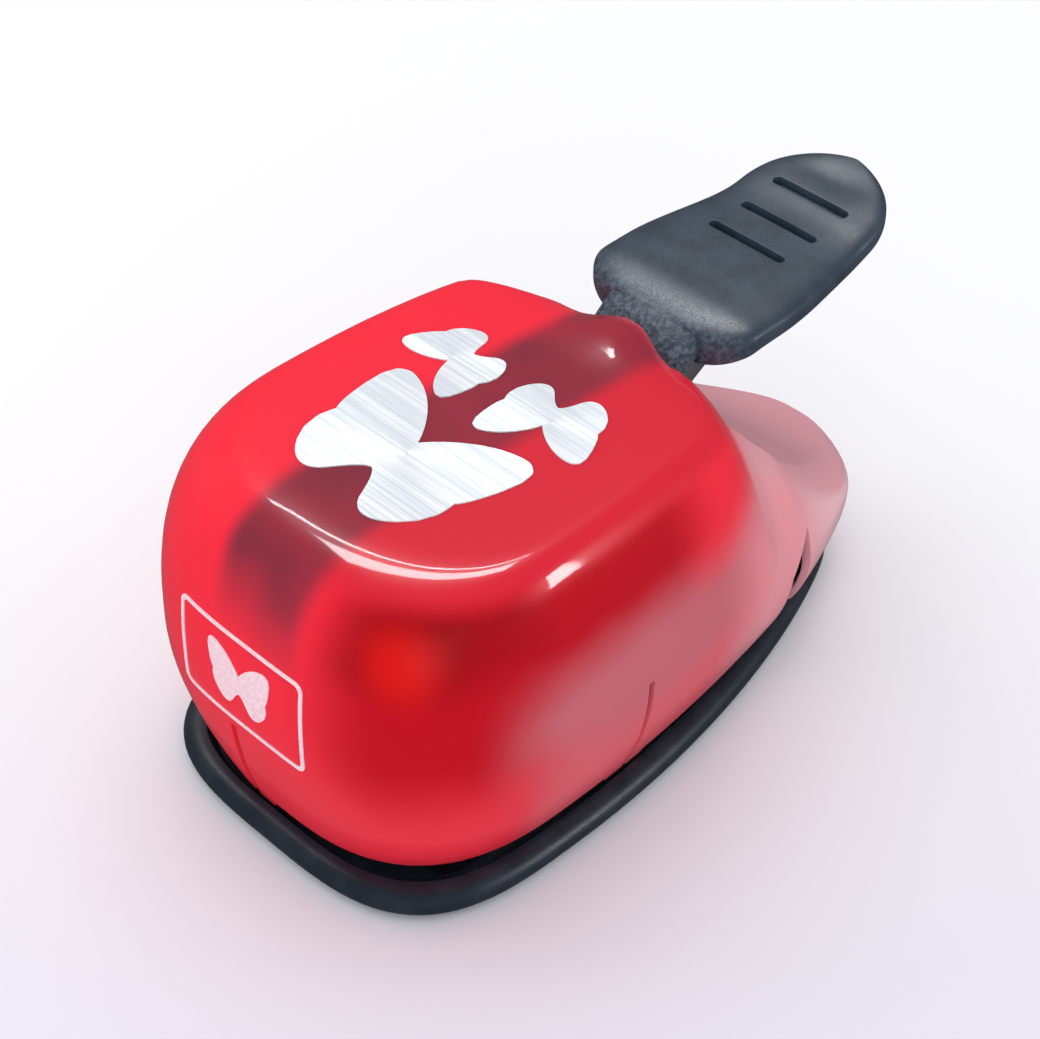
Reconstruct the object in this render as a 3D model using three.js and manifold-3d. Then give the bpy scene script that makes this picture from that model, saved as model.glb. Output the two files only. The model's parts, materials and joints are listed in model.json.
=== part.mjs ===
// Craft punch: a palm-lever paper punch that cuts one large and two small butterflies.
// Units are millimetres, +Z is up, -Y is the front and the lever reaches back along +Y.
// The origin is the centre of the footprint on the table.

import * as THREE from 'three';
import { mergeVertices } from 'three/addons/utils/BufferGeometryUtils.js';
import Module from 'manifold-3d';

const wasm = await Module();
wasm.setup();

// ---- Driving dimensions -------------------------------------------------------------

const CENTRE_SHIFT = 4.8; // puts the middle of base nose and lever tip on the origin
const GAP = 0.3; // running clearance between pieces
const SEAT = 0.15; // clearance between stacked fixed pieces

// Housing. Every outline is widest at WAIST_Y and is symmetric about X = 0.
const WAIST_Y = -42;
const WALL = 2.2;
const SHELL_BOTTOM_Z = 6.2;
const SKIRT_Z = 8;
const WAIST_SHARE = { body: 0.46, tail: 0.78, y1: 56.6 }; // widest level over roof height
// The shoulder is a quarter of a squarish round on the body and is cut off at a ridge behind.
const SHOULDER = { power: 2.5, ridgePower: 1.8, turn: 90, ridgeTurn: 58, y0: 0, y1: 20 };
const COVER_SKIRT = { halfWidth: 36.5, front: -80.4, tail: 61, squareness: 2.65, narrowing: 0.03 };
const COVER_WAIST = { halfWidth: 43.2, front: -84.8, tail: 64.6, squareness: 3.4, narrowing: 0.1 };
const COVER_ROOF = { halfWidth: 33, front: -65, tail: 63.2, squareness: 2.3, narrowing: 0.2 };
const PINCH = { share: 0.42, y0: -3, y: 11, y1: 27 }; // the roof draws in beside the lever neck
// The roof reaches back over the lever neck, fully between the two middle values of Y.
const HOOD = { reach: 3.8, rise: 2.6, half: 8.5, y0: -8, y1: 4, y2: 12, y3: 20 };
const ROOF_WALL_SHARE = 0.95; // roof thickness as a share of the wall's
const BOSS_TOP_Z = 40.2;
const LEVER_OPENING = { half: 12.8, y0: 7.5, y1: 27.5, z0: 41 };
// The skirt's edge rises here and then drops, as [y, z].
const NOTCH = [[20, SKIRT_Z], [22, 22], [29.5, 29], [31, 0]];
const SNAP = { tabHalf: 5, tabTop: 9, frontX: -7, sideY: -27 };
const SNAP_SLOT = { half: 0.8, z0: 5, frontTop: 27, sideTop: 33 };
const SCREW_HOLE = { shank: 1.6, head: 3.5, boss: 2.8, thread: 1.3 };
const BASE_PLAN = { halfWidth: 41.2, front: -84.8, tail: 61, squareness: 3.4, narrowing: 0.15 };
const TAIL_TAPER = 0.914; // the sides draw in towards the tail like part of an ellipse
const TAIL_CAP = 0.83; // share of the tail length where its end starts to round off
// Side view of the roof behind the flat top: [y, z], a rolled edge and then a scoop.
const ROLL_START_Y = 0;
const SCOOP = [[-24, 72.3], [-8, 71.9], [2, 70.9], [8, 68.6], [11.4, 64.6], [15, 57.6], [21, 49.8],
  [30, 40.5], [41, 31.8], [53, 24.9], [64.6, 21]];

// Base and punching plates
const RIM_RADIUS = 3;
const RIM_WIDTH = 5.5;
const LAND_Z = 3;
const CHIP_WINDOW = { halfX: 28, y0: -65, y1: -12 };
const DIE = { halfX: 31.5, y0: -69, y1: -6, z0: 3.2, z1: 6.2 };
const GUIDE = { halfWidth: 33.6, front: -77.4, tail: 46, z0: 7.6, z1: 14.3 };
const STOP = { frontHalf: 20.5, rearHalf: 14, y0: 18, y1: 45 };
const PRESS_PLATE = { halfX: 33.5, y0: -63.8, y1: -6, z0: 29, z1: 34 };
const PUNCH_TIP_Z = 8.2;
const CUT_CLEARANCE = 0.25; // die and guide holes round the punches
const POST = { x: 29, y: -47, radius: 2.5, z0: 8.8, z1: 46 };
const SPRING = { radius: 4.3, wire: 0.6, turns: 5.5, z0: 14.95, z1: 28.4 };

// Butterflies: centre, wingspan and heading of the head end, anticlockwise from +Y
const BUTTERFLIES = [
  { name: 'large', x: -1.2, y: -47.4, span: 40.6, turn: -5 },
  { name: 'small_left', x: -13.8, y: -20.8, span: 20.2, turn: 158 },
  { name: 'small_right', x: 10.4, y: -21.6, span: 23, turn: 195 },
];
const FOIL = 0.3;
const LABEL = { x0: -20.6, x1: 13.3, z0: 29, z1: 50, line: 0.9 };

// Lever
const PIVOT = { y: -72, z: 39, radius: 2, eye: 5.5 };
const PIN_CLIP = { x: 13.4, radius: 4, thickness: 0.8 };
const PIN_HALF_LENGTH = 15.2;
const BRACKET = { y0: -79, y1: -65, side: 1.2, sheet: 2, footTop: 16.5, eye: 6 };
const ARM = { halfWidth: 9.5, sheet: 1.5 };
const ARM_UNDERSIDE = [[-60, 34.5], [-34, 41.5], [-10, 48], [4, 51.5], [12, 55.5],
  [24, 62.5], [31, 66.6], [50, 67.2]];
const ARM_TOPSIDE = [[50, 70.4], [25, 70.4], [13, 63.4], [2, 59.8], [-38, 52.5], [-66, 46]];
const ROLLER = { y: -38, z: 46, radius: 4, halfLength: 7.6, pin: 1.5 };
const PRESS_BLOCK = { halfX: 6.5, y0: -44.5, y1: -31.5, z1: 41.7 };
const NECK_HALF_WIDTH = 11.5;
const PADDLE_HALF_WIDTH = 20.4;
const PADDLE_NARROW = 16.4;
const PADDLE_TAPER = { y0: 30, y1: 62 };
const GRIP_SQUARENESS = 3.6;
const GRIP_SIDES = 12; // facets round half of the grip
const TIP_START_Y = 59.6;
const TIP_REACH = 15.6;
const GRIP_START_Y = 6.5;
const SHOULDER_Y = { start: 16.6, length: 7 }; // where the neck widens into the paddle
const GRIP_TOP = [[6.5, 62.5], [9.5, 65], [14.9, 70.5], [21.3, 74], [30, 74.5], [52, 74.6],
  [61, 76], [69, 77.6], [76, 78.6]];
const GRIP_UNDER = [[6.5, 58.8], [9.5, 60.2], [14.9, 63.2], [21.3, 66], [30, 66.9], [52, 67.2],
  [61, 69], [69, 71.6], [76, 74]];
const GRIP_SLOTS = [[42.7, 74.3], [52, 74.5], [61.3, 76.1]];
const SLOT = { length: 19, width: 2.2, depth: 1.8 };

// Screws: [x, y]
const FRAME_SCREWS = [[-15, 23], [15, 23], [-10, 40], [10, 40]];
const COVER_SCREWS = [[-6, 49.6], [6, 49.6]];
const BRACKET_SCREWS = [[-6, -72], [6, -72]];
const GRIP_SCREWS = [34, 45];

// ---- Materials ----------------------------------------------------------------------

function finish(color, roughness, metalness) {
  return () => new THREE.MeshStandardMaterial({ color, roughness, metalness });
}

const redPlastic = finish(0xe01030, 0.25, 0);
const darkPlastic = finish(0x37444f, 0.55, 0);
const gripPlastic = finish(0x4a5966, 0.5, 0);
const whitePlastic = finish(0xd9d4cf, 0.5, 0);
const steel = finish(0x9aa0a6, 0.35, 1);
const toolSteel = finish(0x6f757b, 0.3, 1);
const foilSilver = finish(0xdfe4e8, 0.25, 1);
const labelWhite = finish(0xf6dfe2, 0.4, 0);

// ---- Solids -------------------------------------------------------------------------

// Turns the triangles over where a geometry encloses a negative volume.
function facingOut(geometry) {
  const index = geometry.index.array;
  const p = geometry.attributes.position;
  const corners = [new THREE.Vector3(), new THREE.Vector3(), new THREE.Vector3()];
  let volume = 0;
  for (let i = 0; i < index.length; i += 3) {
    corners.forEach((corner, k) => corner.fromBufferAttribute(p, index[i + k]));
    volume += corners[0].dot(corners[1].clone().cross(corners[2]));
  }
  if (volume < 0) {
    for (let i = 0; i < index.length; i += 3) {
      [index[i + 1], index[i + 2]] = [index[i + 2], index[i + 1]];
    }
  }
  return geometry;
}

function closedGeometry(source) {
  const geometry = source.clone();
  geometry.deleteAttribute('normal');
  geometry.deleteAttribute('uv');
  const merged = mergeVertices(geometry, 1e-4);
  const kept = [];
  const index = merged.index.array;
  for (let i = 0; i < index.length; i += 3) {
    const [a, b, c] = [index[i], index[i + 1], index[i + 2]];
    if (a !== b && b !== c && c !== a) kept.push(a, b, c);
  }
  merged.setIndex(kept);
  return facingOut(merged);
}

function toSolid(source) {
  const geometry = closedGeometry(source);
  const mesh = new wasm.Mesh({
    numProp: 3,
    vertProperties: new Float32Array(geometry.attributes.position.array),
    triVerts: new Uint32Array(geometry.index.array),
  });
  mesh.merge();
  return new wasm.Manifold(mesh);
}

function toGeometry(solid) {
  const mesh = solid.getMesh();
  const geometry = new THREE.BufferGeometry();
  geometry.setAttribute('position', new THREE.BufferAttribute(mesh.vertProperties, 3));
  geometry.setIndex(new THREE.BufferAttribute(mesh.triVerts, 1));
  geometry.computeVertexNormals();
  return geometry;
}

function subtract(body, ...tools) {
  return tools.reduce((left, tool) => left.subtract(tool), body);
}

function box(x0, x1, y0, y1, z0, z1) {
  const geometry = new THREE.BoxGeometry(x1 - x0, y1 - y0, z1 - z0);
  return geometry.translate((x0 + x1) / 2, (y0 + y1) / 2, (z0 + z1) / 2);
}

// A round rod that stands on z0.
function rod(x, y, radius, z0, z1, sides = 20) {
  const geometry = new THREE.CylinderGeometry(radius, radius, z1 - z0, sides);
  return geometry.rotateX(Math.PI / 2).translate(x, y, (z0 + z1) / 2);
}

// A round rod that lies along X.
function crossRod(y, z, radius, x0, x1, sides = 20) {
  const geometry = new THREE.CylinderGeometry(radius, radius, x1 - x0, sides);
  return geometry.rotateZ(Math.PI / 2).translate((x0 + x1) / 2, y, z);
}

// A turned piece about Z from [radius, z] points.
function turned(points, sides = 20) {
  const profile = points.map(([radius, z]) => new THREE.Vector2(radius, z));
  return closedGeometry(new THREE.LatheGeometry(profile, sides).rotateX(Math.PI / 2));
}

function plate(shape, z0, z1) {
  const settings = { depth: z1 - z0, bevelEnabled: false, curveSegments: 5 };
  return new THREE.ExtrudeGeometry(shape, settings).translate(0, 0, z0);
}

function roundedRectangle(x0, x1, y0, y1, r) {
  const shape = new THREE.Shape();
  shape.moveTo(x0 + r, y0);
  shape.lineTo(x1 - r, y0);
  shape.quadraticCurveTo(x1, y0, x1, y0 + r);
  shape.lineTo(x1, y1 - r);
  shape.quadraticCurveTo(x1, y1, x1 - r, y1);
  shape.lineTo(x0 + r, y1);
  shape.quadraticCurveTo(x0, y1, x0, y1 - r);
  shape.lineTo(x0, y0 + r);
  shape.quadraticCurveTo(x0, y0, x0 + r, y0);
  return shape;
}

// A side profile given as [y, z] points, carried across X.
function acrossX(points, x0, x1) {
  const shape = new THREE.Shape(points.map(([y, z]) => new THREE.Vector2(y, z)));
  const geometry = new THREE.ExtrudeGeometry(shape, { depth: x1 - x0, bevelEnabled: false });
  const turn = new THREE.Matrix4().makeBasis(
    new THREE.Vector3(0, 1, 0), new THREE.Vector3(0, 0, 1), new THREE.Vector3(1, 0, 0));
  return geometry.applyMatrix4(turn).translate(x0, 0, 0);
}

// ---- Lofts --------------------------------------------------------------------------

// Joins closed rings of equal length, which all list mirrored pairs of points about X = 0.
function loft(rings) {
  const count = rings[0].length;
  const positions = rings.flat().flatMap((p) => [p.x, p.y, p.z]);
  const index = [];
  const triangle = (a, b, c) => {
    if (a !== b && b !== c && c !== a) index.push(a, b, c);
  };
  for (let k = 0; k + 1 < rings.length; k += 1) {
    for (let i = 0; i < count; i += 1) {
      const next = (i + 1) % count;
      const [low, high] = [k * count, (k + 1) * count];
      triangle(low + i, low + next, high + next);
      triangle(low + i, high + next, high + i);
    }
  }
  const cap = (start, flip) => {
    for (let i = 0; i < count / 2; i += 1) {
      const corner = [i, i + 1, (count - i - 1) % count, (count - i) % count];
      const [a, b, c, d] = corner.map((n) => start + n);
      if (flip) {
        triangle(a, c, b);
        triangle(a, d, c);
      } else {
        triangle(a, b, c);
        triangle(a, c, d);
      }
    }
  };
  cap(0, true);
  cap((rings.length - 1) * count, false);
  const geometry = new THREE.BufferGeometry();
  geometry.setAttribute('position', new THREE.Float32BufferAttribute(positions, 3));
  geometry.setIndex(index);
  return geometry;
}

function steps(from, to, count) {
  return Array.from({ length: count }, (_, i) => from + ((to - from) * (i + 1)) / count);
}

// Stations along the right half of an outline: angles round the nose, then shares of the
// way from the waist to the tail, closer together where the roof rolls over.
const NOSE_ANGLES = [0, ...steps(0, Math.PI / 2, 9)];
const TAIL_LENGTH = COVER_WAIST.tail - WAIST_Y;
const TAIL_STATIONS = [...steps(WAIST_Y, ROLL_START_Y, 4), ...steps(ROLL_START_Y, 16, 6),
  ...steps(16, 47, 5)].map((y) => (y - WAIST_Y) / TAIL_LENGTH);
const LAST_STATION = 0.84;
const TAIL_SHARES = [...TAIL_STATIONS,
  ...steps(0, Math.PI / 2, 4).map((a) => LAST_STATION + (1 - LAST_STATION) * Math.sin(a))];

// Width at a share of the tail length, as part of the half width at the waist.
function tailWidth(share) {
  const cap = Math.max(0, (share - TAIL_CAP) / (1 - TAIL_CAP));
  return Math.sqrt(1 - (share * TAIL_TAPER) ** 2) * Math.cbrt(Math.max(0, 1 - cap ** 3));
}

function halfOutline(plan) {
  const power = 2 / plan.squareness;
  const nose = NOSE_ANGLES.map((angle) => new THREE.Vector2(
    plan.halfWidth * Math.sin(angle) ** power,
    WAIST_Y - (WAIST_Y - plan.front) * Math.cos(angle) ** power));
  const tail = TAIL_SHARES.map((share) => new THREE.Vector2(
    plan.halfWidth * tailWidth(share) * (1 - plan.narrowing * share ** 2),
    WAIST_Y + (plan.tail - WAIST_Y) * share));
  return [...nose, ...tail];
}

function inset(plan, by) {
  return { ...plan, halfWidth: plan.halfWidth - by, front: plan.front + by, tail: plan.tail - by };
}

// Mirrors a right half that starts and ends at X = 0 into a closed ring.
function ringOf(half) {
  const left = half.slice(1, -1).reverse().map((p) => new THREE.Vector3(-p.x, p.y, p.z));
  return [...half, ...left];
}

function flatRing(plan, z) {
  return ringOf(halfOutline(plan).map((p) => new THREE.Vector3(p.x, p.y, z)));
}

function prism(plan, z0, z1) {
  return loft([flatRing(plan, z0), flatRing(plan, z1)]);
}

// ---- Housing ------------------------------------------------------------------------

const SCOOP_SAMPLES = new THREE.SplineCurve(SCOOP.map(([y, z]) => new THREE.Vector2(y, z)))
  .getPoints(160);

function heightOn(samples, y) {
  const after = samples.findIndex((p) => p.x >= y);
  if (after === 0) return samples[0].y;
  if (after < 0) return samples[samples.length - 1].y;
  const [a, b] = [samples[after - 1], samples[after]];
  return a.y + ((b.y - a.y) * (y - a.x)) / (b.x - a.x);
}

function smoothStep(value, low, high) {
  const t = THREE.MathUtils.clamp((value - low) / (high - low), 0, 1);
  return t * t * (3 - 2 * t);
}

function roofHeight(x, y, depth) {
  const along = smoothStep(y, HOOD.y0, HOOD.y1) * smoothStep(y, HOOD.y3, HOOD.y2);
  const hood = Math.exp(-((x / HOOD.half) ** 2)) * along;
  const [place, rise] = [y - HOOD.reach * hood, HOOD.rise * hood];
  const above = heightOn(SCOOP_SAMPLES, place);
  if (depth <= 0) return above + rise - depth;
  return Math.min(above, heightOn(SCOOP_SAMPLES, place + depth)) + rise - depth * ROOF_WALL_SHARE;
}

function waistHeight(x, y, depth) {
  const share = THREE.MathUtils.lerp(WAIST_SHARE.body, WAIST_SHARE.tail,
    smoothStep(y, SHOULDER.y1, WAIST_SHARE.y1));
  return share * roofHeight(x, y, depth);
}

// How far in and up the shoulder has come at a share of its turn.
function shoulder(y, share) {
  const t = smoothStep(y, SHOULDER.y0, SHOULDER.y1);
  const power = 2 / THREE.MathUtils.lerp(SHOULDER.power, SHOULDER.ridgePower, t);
  const turn = THREE.MathUtils.degToRad(THREE.MathUtils.lerp(SHOULDER.turn, SHOULDER.ridgeTurn, t));
  const inward = (angle) => 1 - Math.max(0, Math.cos(angle)) ** power;
  return {
    inward: inward(turn * share) / inward(turn),
    upward: (Math.sin(turn * share) / Math.sin(turn)) ** power,
  };
}

// Draws the roof's outline in beside the lever neck.
function pinched(outline) {
  return outline.map(({ x, y }) => {
    const near = smoothStep(y, PINCH.y0, PINCH.y) * smoothStep(y, PINCH.y1, PINCH.y);
    return new THREE.Vector2(x * (1 - PINCH.share * near), y);
  });
}

const WALL_LEVELS = [0, 0.35, 0.7, 1];
const SHOULDER_STEPS = 6;
const ROOF_WIDTHS = [0.7, 0.4, 0.15];

// The full housing volume, or the one that lies a depth inside it.
function housing(depth, bottom = SHELL_BOTTOM_Z) {
  const [skirt, waist] = [COVER_SKIRT, COVER_WAIST].map((plan) => halfOutline(inset(plan, depth)));
  const roof = pinched(halfOutline(inset(COVER_ROOF, depth * 0.5)));
  const rings = [];
  for (const v of WALL_LEVELS) {
    rings.push(waist.map((wide, i) => {
      const { x, y } = wide.clone().lerp(skirt[i], (1 - v) ** 2);
      return new THREE.Vector3(x, y, bottom + (waistHeight(x, y, depth) - bottom) * v);
    }));
  }
  for (const share of steps(0, 1, SHOULDER_STEPS)) {
    rings.push(waist.map((wide, i) => {
      const { inward, upward } = shoulder(wide.y, share);
      const { x, y } = wide.clone().lerp(roof[i], inward);
      const low = waistHeight(x, y, depth);
      return new THREE.Vector3(x, y, low + (roofHeight(x, y, depth) - low) * upward);
    }));
  }
  for (const share of ROOF_WIDTHS) {
    rings.push(roof.map(({ x, y }) => (
      new THREE.Vector3(x * share, y, roofHeight(x * share, y, depth)))));
  }
  return toSolid(loft(rings.map(ringOf)));
}

function screwBosses() {
  const posts = COVER_SCREWS.map(([x, y]) => toSolid(
    rod(x, y, SCREW_HOLE.boss, LAND_Z + GAP, BOSS_TOP_Z)));
  const inside = housing(1);
  return posts.map((post) => post.intersect(inside));
}

// Plan outline of the lever opening, whose front edge follows the hood back.
function leverOpening() {
  const { half, y0, y1 } = LEVER_OPENING;
  const front = [-half, ...steps(-half, half, 12)].map((x) => (
    new THREE.Vector2(x, y0 + HOOD.reach * Math.exp(-((x / HOOD.half) ** 2)))));
  return new THREE.Shape([...front, new THREE.Vector2(half, y1), new THREE.Vector2(-half, y1)]);
}

// Everything below the skirt's edge, less the tabs that reach down into the base.
function belowSkirt() {
  const edge = [[-100, 0], ...NOTCH.toReversed(), [-100, SKIRT_Z]];
  const { tabHalf, tabTop, frontX, sideY } = SNAP;
  const tabs = [
    box(frontX - tabHalf, frontX + tabHalf, -100, -70, 0, tabTop),
    box(28, 60, sideY - tabHalf, sideY + tabHalf, 0, tabTop),
    box(-60, -28, sideY - tabHalf, sideY + tabHalf, 0, tabTop)];
  return subtract(toSolid(acrossX(edge, -60, 60)), ...tabs.map(toSolid));
}

function snapSlots() {
  const { half, z0, frontTop, sideTop } = SNAP_SLOT;
  const { frontX, sideY } = SNAP;
  return [
    box(frontX - half, frontX + half, -100, -76, z0, frontTop),
    box(30, 60, sideY - half, sideY + half, z0, sideTop),
    box(-60, -30, sideY - half, sideY + half, z0, sideTop)].map(toSolid);
}

function coverShell() {
  const cavity = housing(WALL, SHELL_BOTTOM_Z - 1);
  const opening = toSolid(plate(leverOpening(), LEVER_OPENING.z0, 80));
  let shell = subtract(housing(0), cavity, opening, belowSkirt(), ...snapSlots());
  for (const boss of screwBosses()) shell = shell.add(boss);
  const pilots = COVER_SCREWS.map(([x, y]) => toSolid(rod(x, y, SCREW_HOLE.shank, 0, 15, 12)));
  return toGeometry(subtract(shell, ...pilots));
}

function baseTray() {
  const rings = [-60, -10, 40, 90].map((degrees) => {
    const angle = THREE.MathUtils.degToRad(degrees);
    const z = RIM_RADIUS * (1 + Math.sin(angle));
    const floor = degrees === -60 ? 0 : z;
    return flatRing(inset(BASE_PLAN, RIM_RADIUS * (1 - Math.cos(angle))), floor);
  });
  const recess = loft([flatRing(inset(BASE_PLAN, RIM_WIDTH), LAND_Z),
    flatRing(inset(BASE_PLAN, RIM_WIDTH - 1), RIM_RADIUS * 2 - 0.6),
    flatRing(inset(BASE_PLAN, RIM_RADIUS + 0.4), RIM_RADIUS * 2 + 0.5)]);
  const { halfX, y0, y1 } = CHIP_WINDOW;
  const window = plate(roundedRectangle(-halfX, halfX, y0, y1, 6), -1, LAND_Z + 1);
  const holes = [...FRAME_SCREWS, ...COVER_SCREWS].flatMap(([x, y]) => [
    rod(x, y, SCREW_HOLE.head, -1, 2, 16), rod(x, y, SCREW_HOLE.shank, 1, LAND_Z + 1, 12)]);
  const tools = [recess, window, ...holes].map(toSolid);
  return toGeometry(subtract(toSolid(loft(rings)), ...tools));
}

// ---- Butterflies --------------------------------------------------------------------

// Right half of a butterfly 39 mm across, head notch to tail notch: Bezier curves, each
// given by its two handles and its end.
const HEAD_NOTCH = [0, 4.1];
const WING = [
  [[3, 9], [9.5, 15], [16, 15.4]],
  [[19.8, 15.2], [19.8, 11.5], [18.8, 6.5]],
  [[18, 2.5], [17.4, 0.5], [16.4, -1]],
  [[17.6, -4.5], [16.5, -8.5], [13.5, -11.5]],
  [[11, -14.2], [7.5, -15.6], [5, -12]],
  [[3.4, -9.3], [1.8, -6.4], [0, -5.7]],
];
// The same curves run the other way, for the left half.
const WING_BACK = WING.map(([near, far], i) => [far, near, i ? WING[i - 1][2] : HEAD_NOTCH])
  .reverse();

// Outline of one butterfly for a wingspan, head towards +Y before it is turned.
function butterflyShape({ x, y, span, turn }) {
  const unit = span / 39;
  const angle = THREE.MathUtils.degToRad(turn);
  const place = (u, v) => [
    x + unit * (u * Math.cos(angle) - v * Math.sin(angle)),
    y + unit * (u * Math.sin(angle) + v * Math.cos(angle))];
  const shape = new THREE.Shape();
  shape.moveTo(...place(...HEAD_NOTCH));
  for (const side of [1, -1]) {
    const wing = side === 1 ? WING : WING_BACK;
    for (const curve of wing) {
      shape.bezierCurveTo(...curve.flatMap(([u, v]) => place(side * u, v)));
    }
  }
  return shape;
}

// Moves an outline outwards, corner by corner, along the mean of its two edge normals.
function grown(shape, by) {
  const points = shape.getPoints(5);
  if (points[0].distanceTo(points[points.length - 1]) < 1e-6) points.pop();
  const side = THREE.ShapeUtils.isClockWise(points) ? -1 : 1;
  const moved = points.map((point, i) => {
    const before = points[(i + points.length - 1) % points.length];
    const after = points[(i + 1) % points.length];
    const into = point.clone().sub(before).normalize();
    const out = after.clone().sub(point).normalize();
    const normal = new THREE.Vector2(into.y + out.y, -into.x - out.x).normalize();
    const stretch = Math.max(0.5, normal.x * into.y - normal.y * into.x);
    return normal.multiplyScalar((side * by) / stretch).add(point);
  });
  return new THREE.Shape(moved);
}

function screwPoint(butterfly) {
  const angle = THREE.MathUtils.degToRad(butterfly.turn);
  const back = (-1.4 * butterfly.span) / 39;
  return [butterfly.x - back * Math.sin(angle), butterfly.y + back * Math.cos(angle)];
}

function butterflyHoles(z0, z1) {
  return BUTTERFLIES.map((b) => toSolid(plate(grown(butterflyShape(b), CUT_CLEARANCE), z0, z1)));
}

// A skin of foil thickness lying just clear of the housing's outside.
function housingSkin() {
  return housing(-0.05 - FOIL).subtract(housing(-0.05, SHELL_BOTTOM_Z - 1));
}

function foil(butterfly, skin) {
  return toGeometry(toSolid(plate(butterflyShape(butterfly), 60, 90)).intersect(skin));
}

// ---- Label on the front wall --------------------------------------------------------

function towardsFront(shape) {
  const turn = new THREE.Matrix4().makeBasis(
    new THREE.Vector3(1, 0, 0), new THREE.Vector3(0, 0, 1), new THREE.Vector3(0, -1, 0));
  return new THREE.ExtrudeGeometry(shape, { depth: 40, bevelEnabled: false, curveSegments: 4 })
    .applyMatrix4(turn).translate(0, -60, 0);
}

function labelFrame(skin) {
  const outer = toSolid(towardsFront(roundedRectangle(LABEL.x0, LABEL.x1, LABEL.z0, LABEL.z1, 2)));
  const inner = toSolid(towardsFront(roundedRectangle(LABEL.x0 + LABEL.line,
    LABEL.x1 - LABEL.line, LABEL.z0 + LABEL.line, LABEL.z1 - LABEL.line, 1.4)));
  return toGeometry(outer.subtract(inner).intersect(skin));
}

function labelIcon(skin) {
  const icon = butterflyShape({
    x: (LABEL.x0 + LABEL.x1) / 2, y: (LABEL.z0 + LABEL.z1) / 2, span: 17, turn: 0 });
  return toGeometry(toSolid(towardsFront(icon)).intersect(skin));
}

// ---- Punching unit ------------------------------------------------------------------

function diePlate() {
  const { halfX, y0, y1, z0, z1 } = DIE;
  const blank = toSolid(plate(roundedRectangle(-halfX, halfX, y0, y1, 5), z0, z1));
  return toGeometry(subtract(blank, ...butterflyHoles(z0 - 1, z1 + 1)));
}

function guidePlate() {
  const plan = { ...COVER_SKIRT, halfWidth: GUIDE.halfWidth, front: GUIDE.front, tail: GUIDE.tail };
  const blank = toSolid(prism(plan, GUIDE.z0, GUIDE.z1));
  const screws = [
    ...FRAME_SCREWS.map(([x, y]) => rod(x, y, SCREW_HOLE.shank, 0, 13.4, 12)),
    ...BRACKET_SCREWS.map(([x, y]) => rod(x, y, SCREW_HOLE.shank, 9, 20, 12)),
    rod(POST.x, POST.y, POST.radius + GAP, POST.z0 - GAP, 20),
    rod(-POST.x, POST.y, POST.radius + GAP, POST.z0 - GAP, 20)].map(toSolid);
  return toGeometry(subtract(blank, ...butterflyHoles(GUIDE.z0 - 1, GUIDE.z1 + 1), ...screws));
}

function paperStop() {
  const { frontHalf, rearHalf, y0, y1 } = STOP;
  const outline = [[-frontHalf, y0], [frontHalf, y0], [rearHalf, y1], [-rearHalf, y1]];
  const shape = new THREE.Shape(outline.map(([x, y]) => new THREE.Vector2(x, y)));
  const holes = FRAME_SCREWS.map(([x, y]) => toSolid(rod(x, y, SCREW_HOLE.shank, 0, 20, 12)));
  const blank = toSolid(plate(shape, LAND_Z + SEAT, GUIDE.z0 - SEAT));
  return toGeometry(subtract(blank, ...holes));
}

function pressurePlate() {
  const { halfX, y0, y1, z0, z1 } = PRESS_PLATE;
  const blank = toSolid(plate(roundedRectangle(-halfX, halfX, y0, y1, 6), z0, z1));
  const posts = [-POST.x, POST.x].map((x) => rod(x, POST.y, POST.radius + GAP, z0 - 1, z1 + 1));
  const screws = BUTTERFLIES.map(screwPoint).map(([x, y]) => (
    rod(x, y, SCREW_HOLE.thread, z0 - 1, z1 + 1, 12)));
  return toGeometry(subtract(blank, ...[...posts, ...screws].map(toSolid)));
}

function punch(butterfly) {
  const top = PRESS_PLATE.z0 - SEAT;
  const [x, y] = screwPoint(butterfly);
  const column = toSolid(plate(butterflyShape(butterfly), PUNCH_TIP_Z, top));
  return toGeometry(column.subtract(toSolid(rod(x, y, SCREW_HOLE.thread, 20, 40, 12))));
}

function bush() {
  const [bore, body, lip] = [POST.radius + GAP, 4.2, 5.4];
  return turned([[bore, 0], [lip, 0], [lip, 1], [body, 1.2], [body, 3.4], [bore, 3.4], [bore, 0]]);
}

class Helix extends THREE.Curve {
  getPoint(t, target = new THREE.Vector3()) {
    const angle = t * SPRING.turns * 2 * Math.PI;
    const z = SPRING.z0 + (SPRING.z1 - SPRING.z0) * t;
    return target.set(SPRING.radius * Math.cos(angle), SPRING.radius * Math.sin(angle), z);
  }
}

function returnSpring() {
  const wire = new THREE.Shape();
  wire.absarc(0, 0, SPRING.wire, 0, 2 * Math.PI);
  const settings = {
    extrudePath: new Helix(), steps: Math.round(SPRING.turns * 12), curveSegments: 3 };
  return closedGeometry(new THREE.ExtrudeGeometry(wire, settings));
}

// ---- Lever --------------------------------------------------------------------------

// The arm seen from the side: a round eye, the underside and then the top, as [y, z].
function armProfile() {
  const angles = [Math.PI / 2, ...steps(Math.PI / 2, Math.PI * 1.5, 8)];
  const eye = angles.map((angle) => [
    PIVOT.y + PIVOT.eye * Math.cos(angle), PIVOT.z + PIVOT.eye * Math.sin(angle)]);
  return [...eye, ...ARM_UNDERSIDE, ...ARM_TOPSIDE];
}

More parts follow.
